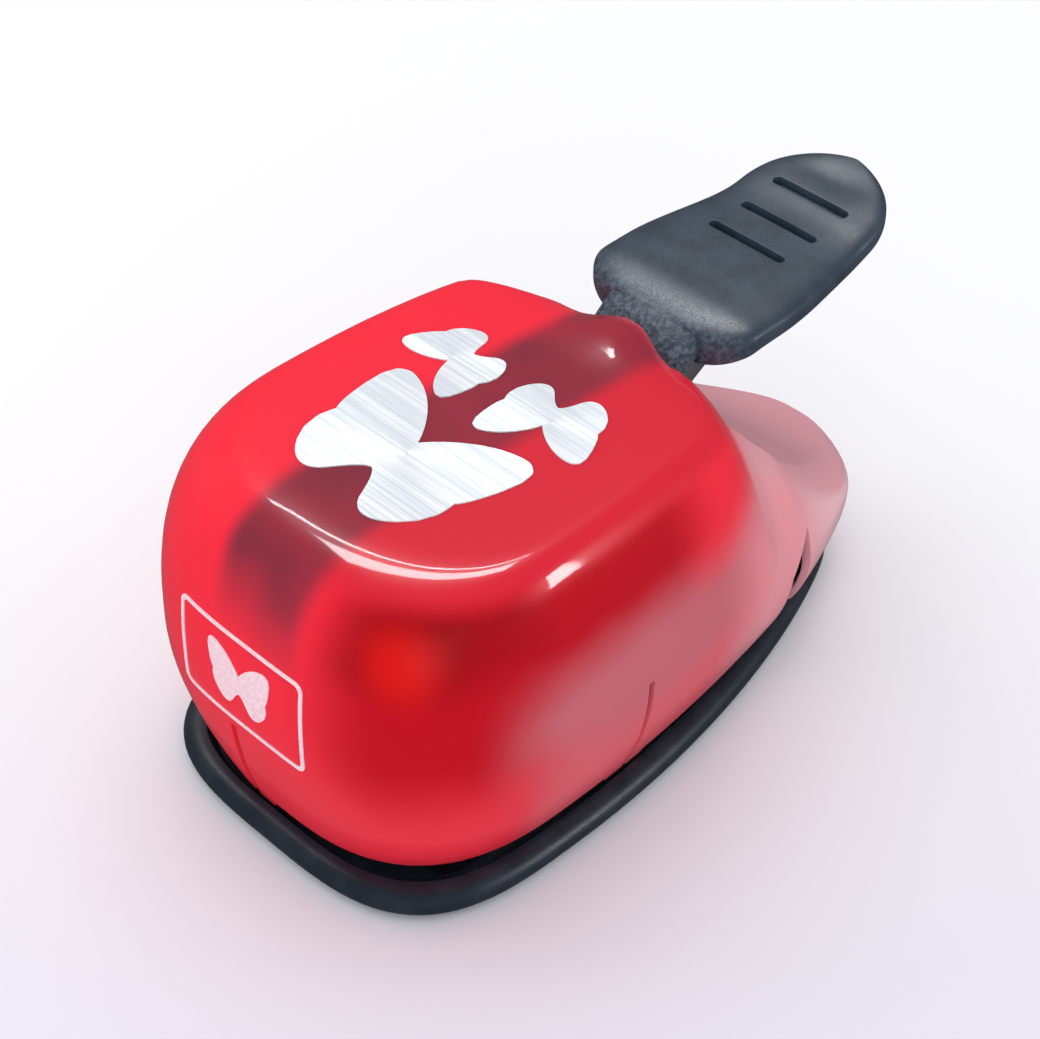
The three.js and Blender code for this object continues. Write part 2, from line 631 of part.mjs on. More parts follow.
// A bent channel: two flanges under a web, with an eye round the pivot.
function leverArm() {
  const body = toSolid(acrossX(armProfile(), -ARM.halfWidth, ARM.halfWidth));
  const web = ARM_TOPSIDE.map(([y, z]) => [y + 1, z - ARM.sheet]);
  const hollow = [[60, 20], [60, web[0][1]], ...web, [-90, 43], [-90, 20]];
  const inside = ARM.halfWidth - ARM.sheet;
  const tools = [
    acrossX(hollow, -inside, inside),
    crossRod(PIVOT.y, PIVOT.z, PIVOT.radius + GAP, -20, 20),
    crossRod(ROLLER.y, ROLLER.z, ROLLER.pin + GAP, -20, 20, 16),
    ...GRIP_SCREWS.map((y) => rod(0, y, SCREW_HOLE.shank, 60, 80, 12))];
  return toGeometry(subtract(body, ...tools.map(toSolid)));
}

const GRIP_TOP_SAMPLES = new THREE.SplineCurve(GRIP_TOP.map(([y, z]) => new THREE.Vector2(y, z)))
  .getPoints(120);
const GRIP_UNDER_SAMPLES = new THREE.SplineCurve(GRIP_UNDER.map(([y, z]) => new THREE.Vector2(y, z)))
  .getPoints(120);

// Half width of the grip: a neck, round shoulders, a taper and a round tip.
function gripHalfWidth(y) {
  const widening = THREE.MathUtils.clamp((y - SHOULDER_Y.start) / SHOULDER_Y.length, 0, 1);
  const spread = Math.sqrt(1 - (1 - widening) ** 2);
  const taper = THREE.MathUtils.smoothstep(y, PADDLE_TAPER.y0, PADDLE_TAPER.y1);
  const paddle = PADDLE_HALF_WIDTH + (PADDLE_NARROW - PADDLE_HALF_WIDTH) * taper;
  const tip = THREE.MathUtils.clamp((y - TIP_START_Y) / TIP_REACH, 0, 1);
  return (NECK_HALF_WIDTH + (paddle - NECK_HALF_WIDTH) * spread) * Math.sqrt(1 - tip ** 2);
}

function gripRing(y) {
  const top = heightOn(GRIP_TOP_SAMPLES, y);
  const under = heightOn(GRIP_UNDER_SAMPLES, y);
  const [middle, half] = [(top + under) / 2, (top - under) / 2];
  const width = gripHalfWidth(y);
  const rounding = (value) => Math.sign(value) * Math.abs(value) ** (2 / GRIP_SQUARENESS);
  const right = Array.from({ length: GRIP_SIDES + 1 }, (_, i) => {
    const angle = (i / GRIP_SIDES) * Math.PI;
    const x = i === 0 || i === GRIP_SIDES ? 0 : width * rounding(Math.sin(angle));
    return new THREE.Vector3(x, y, middle + half * rounding(Math.cos(angle)));
  });
  return ringOf(right);
}

function leverGrip() {
  const round = steps(0, Math.PI / 2, 5).map((angle) => (
    SHOULDER_Y.start + SHOULDER_Y.length * (1 - Math.cos(angle))));
  const stations = [GRIP_START_Y, ...steps(GRIP_START_Y, SHOULDER_Y.start, 4), ...round,
    ...steps(SHOULDER_Y.start + SHOULDER_Y.length, TIP_START_Y, 9),
    ...steps(0, 1.5, 8).map((angle) => TIP_START_Y + TIP_REACH * Math.sin(angle))];
  const body = toSolid(loft(stations.map(gripRing)));
  const roof = ARM_TOPSIDE.slice(0, 5).map(([y, z]) => [y, z + 1.4 * GAP]);
  const rear = ARM_TOPSIDE[0][0] + 1;
  const pocketSide = ARM.halfWidth + GAP;
  const pocket = acrossX([[-38, 20], [rear, 20], [rear, roof[0][1]], ...roof],
    -pocketSide, pocketSide);
  const slots = GRIP_SLOTS.map(([y, z]) => {
    const [half, wide] = [SLOT.length / 2, SLOT.width / 2];
    return plate(roundedRectangle(-half, half, y - wide, y + wide, wide), z - SLOT.depth, z + 6);
  });
  const screws = GRIP_SCREWS.map((y) => rod(0, y, SCREW_HOLE.thread, 60, 73, 12));
  return toGeometry(subtract(body, ...[pocket, ...slots, ...screws].map(toSolid)));
}

function roller() {
  const [bore, outside] = [ROLLER.pin + GAP, ROLLER.radius];
  const half = ROLLER.halfLength;
  const ring = turned([[bore, -half], [outside, -half], [outside, half], [bore, half],
    [bore, -half]], 24);
  return ring.rotateY(Math.PI / 2).translate(0, ROLLER.y, ROLLER.z);
}

function pivotBracket() {
  const { y0, y1, side, sheet, footTop, eye } = BRACKET;
  const inner = ARM.halfWidth + side;
  const outer = inner + sheet;
  const low = GUIDE.z1 + SEAT;
  const foot = toSolid(box(-outer, outer, y0, y1, low, footTop));
  const profile = [[y0, low], [y1, low], [PIVOT.y + eye, PIVOT.z],
    ...steps(0, Math.PI, 8).map((a) => [
      PIVOT.y + eye * Math.cos(a), PIVOT.z + eye * Math.sin(a)])];
  const ears = [[-outer, -inner], [inner, outer]].map((x) => toSolid(acrossX(profile, ...x)));
  const holes = [crossRod(PIVOT.y, PIVOT.z, PIVOT.radius + GAP, -20, 20),
    ...BRACKET_SCREWS.map(([x, y]) => rod(x, y, SCREW_HOLE.shank, 0, 30, 12))];
  return toGeometry(subtract(foot.add(ears[0]).add(ears[1]), ...holes.map(toSolid)));
}

// ---- Fasteners ----------------------------------------------------------------------

// A pan-head screw: its shank runs from z = 0 up to the length, its head lies below.
function screw(length, shank = 1.25, head = 2.9) {
  return turned([[0, -1.5], [head * 0.8, -1.5], [head, -1], [head, 0], [shank, 0],
    [shank, length - 0.8], [0, length]], 16);
}

// ---- Assembly -----------------------------------------------------------------------

const punchTool = new THREE.Group();
punchTool.position.y = CENTRE_SHIFT;
punchTool.name = 'craft_punch';

function add(name, geometry, material, x = 0, y = 0, z = 0) {
  const mesh = new THREE.Mesh(geometry, material());
  mesh.name = name;
  mesh.position.set(x, y, z);
  punchTool.add(mesh);
  return mesh;
}

function addHousing() {
  const skin = housingSkin();
  add('base_tray', baseTray(), darkPlastic);
  add('cover_shell', coverShell(), redPlastic);
  for (const b of BUTTERFLIES) add(`foil_${b.name}`, foil(b, skin), foilSilver);
  add('label_frame', labelFrame(skin), labelWhite);
  add('label_icon', labelIcon(skin), labelWhite);
}

function addPunchingUnit() {
  add('die_plate', diePlate(), toolSteel);
  add('guide_plate', guidePlate(), whitePlastic);
  add('paper_stop', paperStop(), whitePlastic);
  add('pressure_plate', pressurePlate(), steel);
  const { halfX, y0, y1, z1 } = PRESS_BLOCK;
  add('press_block', box(-halfX, halfX, y0, y1, PRESS_PLATE.z1 + SEAT, z1), steel);
  for (const b of BUTTERFLIES) {
    const [x, y] = screwPoint(b);
    add(`punch_${b.name}`, punch(b), toolSteel);
    const bolt = add(`punch_screw_${b.name}`, screw(11, 1, 2), steel, x, y, PRESS_PLATE.z1 + SEAT);
    bolt.rotation.x = Math.PI;
  }
  for (const [side, x] of [['left', -POST.x], ['right', POST.x]]) {
    add(`guide_post_${side}`, rod(0, 0, POST.radius, POST.z0, POST.z1), steel, x, POST.y);
    add(`bush_${side}`, bush(), whitePlastic, x, POST.y, PRESS_PLATE.z1 + SEAT);
    add(`return_spring_${side}`, returnSpring(), steel, x, POST.y);
  }
}

function addLever() {
  add('pivot_bracket', pivotBracket(), steel);
  add('pivot_pin', crossRod(PIVOT.y, PIVOT.z, PIVOT.radius,
    -PIN_HALF_LENGTH, PIN_HALF_LENGTH), steel);
  for (const [side, x] of [['left', -PIN_CLIP.x], ['right', PIN_CLIP.x]]) {
    const bore = PIVOT.radius + GAP;
    const { radius, thickness } = PIN_CLIP;
    const ring = turned([[bore, 0], [radius, 0], [radius, thickness], [bore, thickness],
      [bore, 0]], 18);
    const direction = Math.sign(x);
    add(`pin_clip_${side}`, ring.rotateY((direction * Math.PI) / 2), steel, x, PIVOT.y, PIVOT.z);
  }
  add('lever_arm', leverArm(), steel);
  add('lever_grip', leverGrip(), gripPlastic);
  add('press_roller', roller(), steel);
  const pinEnd = ARM.halfWidth + 0.8;
  add('press_pin', crossRod(ROLLER.y, ROLLER.z, ROLLER.pin, -pinEnd, pinEnd, 16), steel);
  GRIP_SCREWS.forEach((y, i) => {
    add(`grip_screw_${i + 1}`, screw(4, 1, 2.6), steel, 0, y, ARM_TOPSIDE[0][1] - ARM.sheet - SEAT);
  });
}

function addFasteners() {
  FRAME_SCREWS.forEach(([x, y], i) => {
    add(`frame_screw_${i + 1}`, screw(11, 1.25, 3.1), steel, x, y, 1.85);
  });
  COVER_SCREWS.forEach(([x, y], i) => {
    add(`cover_screw_${i + 1}`, screw(11, 1.25, 3.1), steel, x, y, 1.85);
  });
  BRACKET_SCREWS.forEach(([x, y], i) => {
    const bolt = add(`bracket_screw_${i + 1}`, screw(6.5), steel, x, y, BRACKET.footTop + SEAT);
    bolt.rotation.x = Math.PI;
  });
}

addHousing();
addPunchingUnit();
addLever();
addFasteners();

export default punchTool;
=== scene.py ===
"""Craft punch: the looks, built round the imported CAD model. Lengths in the tables are design
millimetres; mm() and at() turn them into the frame's metres."""

import json
import math

import bmesh
import bpy
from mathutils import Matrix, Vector
from mathutils.bvhtree import BVHTree
from mathutils.geometry import delaunay_2d_cdt

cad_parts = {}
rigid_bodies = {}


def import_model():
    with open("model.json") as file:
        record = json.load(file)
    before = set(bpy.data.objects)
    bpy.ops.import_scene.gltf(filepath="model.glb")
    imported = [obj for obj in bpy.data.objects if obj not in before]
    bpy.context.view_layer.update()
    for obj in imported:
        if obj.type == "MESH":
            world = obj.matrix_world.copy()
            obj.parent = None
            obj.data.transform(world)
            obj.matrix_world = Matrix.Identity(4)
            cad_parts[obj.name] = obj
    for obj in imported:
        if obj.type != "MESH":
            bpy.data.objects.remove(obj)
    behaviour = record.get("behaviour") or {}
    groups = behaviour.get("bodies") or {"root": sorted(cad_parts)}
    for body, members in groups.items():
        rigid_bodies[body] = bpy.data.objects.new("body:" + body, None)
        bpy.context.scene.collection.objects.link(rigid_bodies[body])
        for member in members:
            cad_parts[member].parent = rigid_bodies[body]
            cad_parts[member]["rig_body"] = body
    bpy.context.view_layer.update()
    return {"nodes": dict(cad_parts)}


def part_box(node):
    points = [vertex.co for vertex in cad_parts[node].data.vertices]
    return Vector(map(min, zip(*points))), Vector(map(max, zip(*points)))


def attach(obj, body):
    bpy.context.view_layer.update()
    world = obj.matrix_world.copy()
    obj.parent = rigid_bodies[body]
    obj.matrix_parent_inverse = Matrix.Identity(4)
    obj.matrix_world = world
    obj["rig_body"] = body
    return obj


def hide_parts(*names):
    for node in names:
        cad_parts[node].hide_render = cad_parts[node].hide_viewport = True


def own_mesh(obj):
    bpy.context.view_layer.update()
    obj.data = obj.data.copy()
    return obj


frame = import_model()
NODES = frame["nodes"]

# ---- Driving dimensions, as in the CAD ----------------------------------------------

WAIST_Y = -42
WALL = 2.2
GAP = 0.3
SHELL_BOTTOM_Z = 6.2
SKIRT_Z = 8
WAIST_SHARE, TAIL_WAIST_SHARE = 0.46, 0.78
SHOULDER_POWER, RIDGE_POWER = 2.5, 1.8
SHOULDER_TURN, RIDGE_TURN = 90, 58
RIDGE_FROM_Y, RIDGE_FULL_Y = 0, 20
WAIST_RISE_END_Y = 56.6
TAIL_TAPER = 0.914
TAIL_CAP = 0.83
LAST_STATION = 0.84
ROOF_WALL_SHARE = 0.95
COVER_SKIRT = {"half": 36.5, "front": -80.4, "tail": 61, "square": 2.65, "narrow": 0.03}
COVER_WAIST = {"half": 43.2, "front": -84.8, "tail": 64.6, "square": 3.4, "narrow": 0.1}
COVER_ROOF = {"half": 33, "front": -65, "tail": 63.2, "square": 2.3, "narrow": 0.2}
PINCH = {"share": 0.42, "from": -3, "y": 11, "to": 27}
HOOD = {"reach": 3.8, "rise": 2.6, "half": 8.5, "y0": -8, "y1": 4, "y2": 12, "y3": 20}
BASE_PLAN = {"half": 41.2, "front": -84.8, "tail": 61, "square": 3.4, "narrow": 0.15}
SCOOP = [(-24, 72.3), (-8, 71.9), (2, 70.9), (8, 68.6), (11.4, 64.6), (15, 57.6), (21, 49.8),
         (30, 40.5), (41, 31.8), (53, 24.9), (64.6, 21)]
RIM_RADIUS = 3
RIM_WIDTH = 5.5
LAND_Z = 3
CHIP_WINDOW = {"half": 28, "y0": -65, "y1": -12}
POST = {"x": 29, "y": -47}
SPRING = {"radius": 4.3, "wire": 0.6, "turns": 5.5, "z0": 14.95, "z1": 28.4}
BUTTERFLIES = {"large": (-1.2, -47.4, 40.6, -5), "small_left": (-13.8, -20.8, 20.2, 158),
               "small_right": (10.4, -21.6, 23, 195)}
LABEL = {"x0": -20.6, "x1": 13.3, "z0": 29, "z1": 50, "line": 0.9}
FOIL = 0.3
SKIN_GAP = 0.04
PRINT_TOP = 0.22
ARM_HALF = 9.5
ARM_TOPSIDE = [(50, 70.4), (25, 70.4), (13, 63.4), (2, 59.8), (-38, 52.5)]
NECK_HALF = 11.5
PADDLE_HALF = 20.4
PADDLE_NARROW = 16.4
TIP_START_Y = 59.6
TIP_REACH = 15.6
TIP_TURN = 1.5
GRIP_SHOULDER = {"start": 16.6, "length": 7}
PADDLE_TAPER = {"start": 30, "length": 32}
GRIP_SQUARENESS = 3.6
GRIP_SIDES = 40
DISH = {"depth": 0.9, "half_x": 9, "y": 68.5, "half_y": 3.6}
GRIP_START_Y = 6.5
GRIP_TOP = [(6.5, 62.5), (9.5, 65), (14.9, 70.5), (21.3, 74), (30, 74.5), (52, 74.6),
            (61, 76), (69, 77.6), (76, 78.6)]
GRIP_UNDER = [(6.5, 58.8), (9.5, 60.2), (14.9, 63.2), (21.3, 66), (30, 66.9), (52, 67.2),
              (61, 69), (69, 71.6), (76, 74)]
GRIP_SLOTS = [(42.7, 74.3), (52, 74.5), (61.3, 76.1)]
SLOT = {"length": 19, "width": 2.2, "depth": 1.8}
FRAME_SCREWS = [(-15, 23), (15, 23), (-10, 40), (10, 40)]
COVER_SCREWS = [(-6, 49.6), (6, 49.6)]
SCREW_HOLE = {"boss": 2.8, "shank": 1.6, "head": 3.5}

SHIFT_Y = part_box("cover_shell")[0].y * 1000 - COVER_WAIST["front"]


def mm(value):
    return value / 1000


def at(x, y, z):
    """A design point in the frame's metres."""
    return Vector((x / 1000, (y + SHIFT_Y) / 1000, z / 1000))


# ---- Camera, world and light --------------------------------------------------------

def aim(thing, target):
    thing.rotation_euler = (Vector(target) - thing.location).to_track_quat("-Z", "Y").to_euler()


def link(thing):
    bpy.context.scene.collection.objects.link(thing)
    return thing


CAMERA = {"lens": 90, "sensor": 36, "place": (266.4, -279.6, 362.3), "target": (-33.44, 14.08, 0)}
camera_data = bpy.data.cameras.new("camera")
camera_data.lens = CAMERA["lens"]
camera_data.sensor_width = CAMERA["sensor"]
camera = link(bpy.data.objects.new("camera", camera_data))
camera.location = at(*CAMERA["place"])
aim(camera, at(*CAMERA["target"]))
bpy.context.scene.camera = camera
bpy.context.scene.view_settings.view_transform = "Standard"


def area_light(name, where, target, size, power, glossy=True, colour=(1, 1, 1)):
    data = bpy.data.lights.new(name, "AREA")
    data.shape = "RECTANGLE"
    data.size, data.size_y = size
    data.energy = power
    data.color = colour
    lamp = link(bpy.data.objects.new(name, data))
    lamp.location = where
    aim(lamp, target)
    lamp.visible_glossy = glossy
    return lamp


CENTRE = (0, -0.03, 0.06)


def strip(name, slope, length, width, power):
    """A strip light a metre above, centred on the slope (x/z, y/z) seen from the object."""
    lamp = area_light(name, Vector(CENTRE) + Vector((*slope, 1)), CENTRE, (length, width), power)
    lamp.rotation_euler = (0, 0, math.radians(49))
    return lamp


area_light("key_overhead", (-0.35, 0.25, 1.0), CENTRE, (0.9, 0.9), 2.3, glossy=False)
area_light("fill_front", (0.8, -0.85, 0.22), CENTRE, (0.8, 0.8), 4.2, glossy=False)
area_light("fill_left", (-0.85, -0.35, 0.35), CENTRE, (0.6, 0.6), 1.2, glossy=False)
for lamp in (strip("strip_crescent", (-0.37, 0.08), 0.8, 0.2, 16),
             strip("strip_line", (-0.56, 0.22), 0.85, 0.035, 5),
             area_light("strip_right", (0.95, 0.48, 0.26), CENTRE, (0.12, 0.34), 5)):
    lamp.visible_diffuse = False

world = bpy.data.worlds.new("studio")
world.use_nodes = True
bpy.context.scene.world = world
background = world.node_tree.nodes["Background"]
background.inputs["Color"].default_value = (0.95, 0.955, 1, 1)
light_path = world.node_tree.nodes.new("ShaderNodeLightPath")
level = world.node_tree.nodes.new("ShaderNodeMapRange")
level.inputs["To Min"].default_value = 0.95
level.inputs["To Max"].default_value = 0.14
world.node_tree.links.new(light_path.outputs["Is Glossy Ray"], level.inputs["Value"])
world.node_tree.links.new(level.outputs[0], background.inputs["Strength"])


# ---- Material helpers ---------------------------------------------------------------

def new_material(name, settings):
    material = bpy.data.materials.new(name)
    material.use_nodes = True
    tree = material.node_tree
    shader = tree.nodes["Principled BSDF"]
    for socket, value in settings.items():
        shader.inputs[socket].default_value = value
    return material, tree, shader


def node(tree, kind, values=None, **settings):
    made = tree.nodes.new(kind)
    for name, value in settings.items():
        setattr(made, name, value)
    for name, value in (values or {}).items():
        if isinstance(value, bpy.types.NodeSocket):
            tree.links.new(value, made.inputs[name])
        else:
            made.inputs[name].default_value = value
    return made


def object_place(tree):
    return node(tree, "ShaderNodeTexCoord").outputs["Object"]


def axes(tree, place):
    split = node(tree, "ShaderNodeSeparateXYZ", {"Vector": place})
    return split.outputs["X"], split.outputs["Y"], split.outputs["Z"]


def noise(tree, place, scale, detail=4, rough=0.6, stretch=None):
    if stretch:
        place = node(tree, "ShaderNodeMapping", {"Vector": place, "Scale": stretch}).outputs[0]
    values = {"Vector": place, "Scale": scale, "Detail": detail, "Roughness": rough}
    return node(tree, "ShaderNodeTexNoise", values).outputs["Fac"]


def fade(tree, value, low, high, out_low=0.0, out_high=1.0):
    """Smooth step of a value from low to high."""
    values = {"Value": value, "From Min": low, "From Max": high, "To Min": out_low,
              "To Max": out_high}
    return node(tree, "ShaderNodeMapRange", values, interpolation_type="SMOOTHSTEP").outputs[0]


def maths(tree, operation, first, second=0.0):
    made = node(tree, "ShaderNodeMath", {0: first, 1: second}, operation=operation)
    return made.outputs[0]


def blend(tree, factor, first, second):
    made = tree.nodes.new("ShaderNodeMix")
    made.data_type = "RGBA"
    for index, value in ((0, factor), (6, first), (7, second)):
        if isinstance(value, bpy.types.NodeSocket):
            tree.links.new(value, made.inputs[index])
        else:
            made.inputs[index].default_value = (*value, 1) if isinstance(value, tuple) else value
    return made.outputs[2]


def bump(tree, shader, height, strength, distance):
    values = {"Height": height, "Strength": strength, "Distance": distance}
    tree.links.new(node(tree, "ShaderNodeBump", values).outputs[0], shader.inputs["Normal"])


# ---- Materials ----------------------------------------------------------------------

# centre of a painted glow, painted light, at the cover's front corner
PAINTED_GLOW = (29.5, -75.5, 60)


def band(tree, value, low, high, soft):
    """1 between low and high, falling to 0 over soft on both sides."""
    up = fade(tree, value, low - soft, low + soft)
    down = fade(tree, value, high - soft, high + soft, 1, 0)
    return maths(tree, "MULTIPLY", up, down)


def painted(tree, base, layers):
    """Lays colours over a base colour, each by the product of its masks."""
    for colour, *masks in layers:
        amount = masks[0]
        for mask in masks[1:]:
            amount = maths(tree, "MULTIPLY", amount, mask)
        base = blend(tree, amount, base, colour)
    return base


def red_cover():
    material, tree, shader = new_material("red_cover", {
        "Roughness": 0.3, "Transmission Weight": 0.1, "IOR": 1.49,
        "Coat Weight": 0.4, "Coat Roughness": 0.06, "Specular IOR Level": 0.05})
    place = object_place(tree)
    x, y, z = axes(tree, place)
    wobble = noise(tree, place, 28, 2)
    soft = maths(tree, "MULTIPLY", maths(tree, "SUBTRACT", wobble, 0.5), mm(12))
    y = maths(tree, "SUBTRACT", y, mm(SHIFT_Y))
    level = maths(tree, "ADD", z, soft)
    along = maths(tree, "ADD", y, soft)
    side = maths(tree, "ABSOLUTE", maths(tree, "ADD", x, maths(tree, "MULTIPLY", soft, 0.4)))
    on_roof = fade(tree, z, mm(66), mm(71))
    off_roof = fade(tree, z, mm(66), mm(71), 1, 0)
    before_tail = fade(tree, along, mm(-2), mm(16), 1, 0)
    painted_glow = node(tree, "ShaderNodeVectorMath", {0: place, 1: at(*PAINTED_GLOW)}, operation="DISTANCE")
    normal = node(tree, "ShaderNodeNewGeometry").outputs["Normal"]
    facing_up = node(tree, "ShaderNodeSeparateXYZ", {"Vector": normal}).outputs["Z"]
    # where the scoop faces up, for its painted shade
    scoop_shade = maths(tree, "MULTIPLY", fade(tree, facing_up, 0.45, 0.6),
                     fade(tree, y, mm(15), mm(21)))
    layers = [
        # painted shade: the right half of the roof darker, the upper right wall darker still, its
        # corner darkest
        ((0.73, 0.018, 0.038), fade(tree, x, mm(-6), mm(12)), on_roof),
        ((0.55, 0.0, 0.01), off_roof, fade(tree, x, mm(6), mm(30)),
         fade(tree, along, mm(-6), mm(-24))),
        ((0.33, 0.0, 0.003), off_roof, fade(tree, level, mm(50), mm(60)),
         band(tree, x, mm(20), mm(40), mm(9)), fade(tree, along, mm(-48), mm(-58))),
        # painted see-through light: the pale plates behind the wall shown as greyish pink on it;
        # below them the front wall plain red, and the lower side walls a paler pink of painted light
        ((0.62, 0.15, 0.18), fade(tree, level, mm(57), mm(40)), before_tail,
         fade(tree, along, mm(-70), mm(-46))),
        ((0.90, 0.035, 0.06), fade(tree, level, mm(42), mm(20)),
         fade(tree, along, mm(-34), mm(-62))),
        ((0.86, 0.13, 0.165), fade(tree, level, mm(34), mm(18)),
         fade(tree, along, mm(-60), mm(-40))),
        # painted glow at the front corner, painted light
        ((0.72, 0.004, 0.004), fade(tree, painted_glow.outputs["Value"], mm(11), mm(2))),
        # painted light through the empty tail, paler towards its end, and painted shade on the
        # upward-facing scoop
        ((0.90, 0.34, 0.375), fade(tree, along, mm(-8), mm(14)),
         fade(tree, level, mm(62), mm(46))),
        ((0.90, 0.53, 0.57), fade(tree, along, mm(20), mm(46))),
        ((0.82, 0.38, 0.42), scoop_shade),
        # painted shade of the lever arm seen through the roof
        ((0.25, 0.026, 0.046), fade(tree, side, mm(8), mm(13.5), 1, 0),
         fade(tree, along, mm(-86), mm(-76)), fade(tree, level, mm(44), mm(56)),
         fade(tree, along, mm(14), mm(6)), maths(tree, "ADD", wobble, 0.4)),
    ]
    colour = painted(tree, (0.97, 0.022, 0.048), layers)
    tree.links.new(colour, shader.inputs["Base Color"])
    return material


def dark_plastic(name, base, light, worn=None):
    material, tree, shader = new_material(name, {"Roughness": 0.45, "Specular IOR Level": 0.35})
    place = object_place(tree)
    cloud = noise(tree, place, 140, 5)
    colour = blend(tree, fade(tree, cloud, 0.35, 0.7), base, light)
    if worn:
        speck = fade(tree, noise(tree, place, 900, 4, 0.7), 0.42, 0.62)
        near_neck = fade(tree, axes(tree, place)[1], mm(30), mm(16))
        colour = blend(tree, maths(tree, "MULTIPLY", speck, near_neck), colour, worn)
    tree.links.new(colour, shader.inputs["Base Color"])
    grain = noise(tree, place, 2600, 3)
    tree.links.new(fade(tree, grain, 0.3, 0.7, 0.36, 0.52), shader.inputs["Roughness"])
    bump(tree, shader, grain, 0.25, mm(0.05))
    return material


def metal(name, base, light, roughness, stretch=(1, 1, 1)):
    material, tree, shader = new_material(name, {"Metallic": 1.0})
    place = object_place(tree)
    streak = noise(tree, place, 700, 4, 0.6, stretch)
    tree.links.new(blend(tree, streak, base, light), shader.inputs["Base Color"])
    worn = fade(tree, noise(tree, place, 160, 3), 0.3, 0.7, roughness, roughness + 0.15)
    tree.links.new(worn, shader.inputs["Roughness"])
    bump(tree, shader, streak, 0.2, mm(0.03))
    return material


def brushed_foil():
    material, tree, shader = new_material("brushed_foil", {
        "Metallic": 0.15, "Roughness": 0.35, "Anisotropic": 0.5})
    place = object_place(tree)
    fine = noise(tree, place, 1500, 3, 0.6, (0.02, 1, 1))
    broad = noise(tree, place, 260, 2, 0.5, (0.03, 1, 1))
    streak = maths(tree, "MULTIPLY", fine, broad)
    colour = blend(tree, fade(tree, streak, 0.15, 0.38), (0.70, 0.75, 0.79), (0.86, 0.88, 0.89))
    tree.links.new(colour, shader.inputs["Base Color"])
    tree.links.new(fade(tree, fine, 0.3, 0.7, 0.28, 0.42), shader.inputs["Roughness"])
    bump(tree, shader, fine, 0.3, mm(0.02))
    return material


def pale_plastic():
    material, tree, shader = new_material("inner_plastic", {"Roughness": 0.5})
    place = object_place(tree)
    cloud = noise(tree, place, 220, 4)
    tree.links.new(blend(tree, cloud, (0.50, 0.48, 0.47), (0.66, 0.64, 0.62)),
                   shader.inputs["Base Color"])
    bump(tree, shader, noise(tree, place, 2200, 3), 0.2, mm(0.04))
    return material


def print_white():
    material, tree, shader = new_material("label_print", {"Roughness": 0.45})
    place = object_place(tree)
    ink = noise(tree, place, 1200, 4, 0.7)
    tree.links.new(blend(tree, fade(tree, ink, 0.35, 0.65), (0.86, 0.55, 0.60), (0.93, 0.72, 0.75)),
                   shader.inputs["Base Color"])
    return material


def floor_paint():
    material, tree, shader = new_material("floor_paint", {"Roughness": 0.9,
                                                          "Specular IOR Level": 0.0})
    place = object_place(tree)
    x, y = axes(tree, place)[:2]
    toward_back = maths(tree, "SUBTRACT", y, x)
    far = fade(tree, toward_back, -0.28, 0.12)
    far = maths(tree, "ADD", far, maths(tree, "MULTIPLY", noise(tree, place, 3, 2), 0.04))
    colour = blend(tree, far, (0.73, 0.715, 0.80), (0.875, 0.875, 0.88))
    tree.links.new(colour, shader.inputs["Base Color"])
    return material


RED = red_cover()
BASE_DARK = dark_plastic("base_plastic", (0.010, 0.018, 0.030), (0.018, 0.029, 0.044))
GRIP_DARK = dark_plastic("grip_plastic", (0.025, 0.042, 0.063), (0.038, 0.060, 0.085),
                         worn=(0.12, 0.155, 0.20))
STEEL = metal("zinc_steel", (0.42, 0.44, 0.46), (0.60, 0.62, 0.64), 0.28, (1, 0.15, 1))
TOOL_STEEL = metal("tool_steel", (0.22, 0.23, 0.25), (0.40, 0.41, 0.43), 0.22, (0.12, 1, 1))
ARM_STEEL = metal("arm_steel", (0.16, 0.18, 0.19), (0.26, 0.28, 0.29), 0.4, (1, 0.1, 1))
FOIL_METAL = brushed_foil()
INNER = pale_plastic()
PRINT = print_white()


# ---- Mesh helpers -------------------------------------------------------------------

def mesh_object(name, points, faces, material=None):
    """Points in design millimetres."""
    mesh = bpy.data.meshes.new(name)
    mesh.from_pydata([at(*p) for p in points], [], faces)
    mesh.validate()
    thing = link(bpy.data.objects.new(name, mesh))
    recalculate(mesh)
    if material:
        mesh.materials.append(material)
    return thing


def recalculate(mesh):
    work = bmesh.new()
    work.from_mesh(mesh)
    bmesh.ops.recalc_face_normals(work, faces=work.faces)
    work.to_mesh(mesh)
    work.free()


def bake_modifiers(thing):
    graph = bpy.context.evaluated_depsgraph_get()
    baked = bpy.data.meshes.new_from_object(thing.evaluated_get(graph))
    thing.modifiers.clear()
    thing.data = baked
    return thing


def combine(thing, other, operation="DIFFERENCE"):
    step = thing.modifiers.new("cut", "BOOLEAN")
    step.operation = operation
    step.solver = "MANIFOLD"
    step.object = other
    bake_modifiers(thing)
    bpy.data.objects.remove(other)
    return thing


def smooth(thing, degrees=32):
    for face in thing.data.polygons:
        face.use_smooth = True
    thing.data.set_sharp_from_angle(angle=math.radians(degrees))
    return thing


def bevel(thing, width, segments=2, degrees=40):
    step = thing.modifiers.new("bevel", "BEVEL")
    step.width = mm(width)
    step.segments = segments
    step.limit_method = "ANGLE"
    step.angle_limit = math.radians(degrees)
    step.harden_normals = False
    return bake_modifiers(thing)


def dress(thing, material, body, slot, *replaced):
    thing.data.materials.clear()
    thing.data.materials.append(material)
    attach(thing, body)
    if replaced:
        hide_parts(*replaced)
    return thing


def steps(start, end, count):
    return [start + (end - start) * (i + 1) / count for i in range(count)]


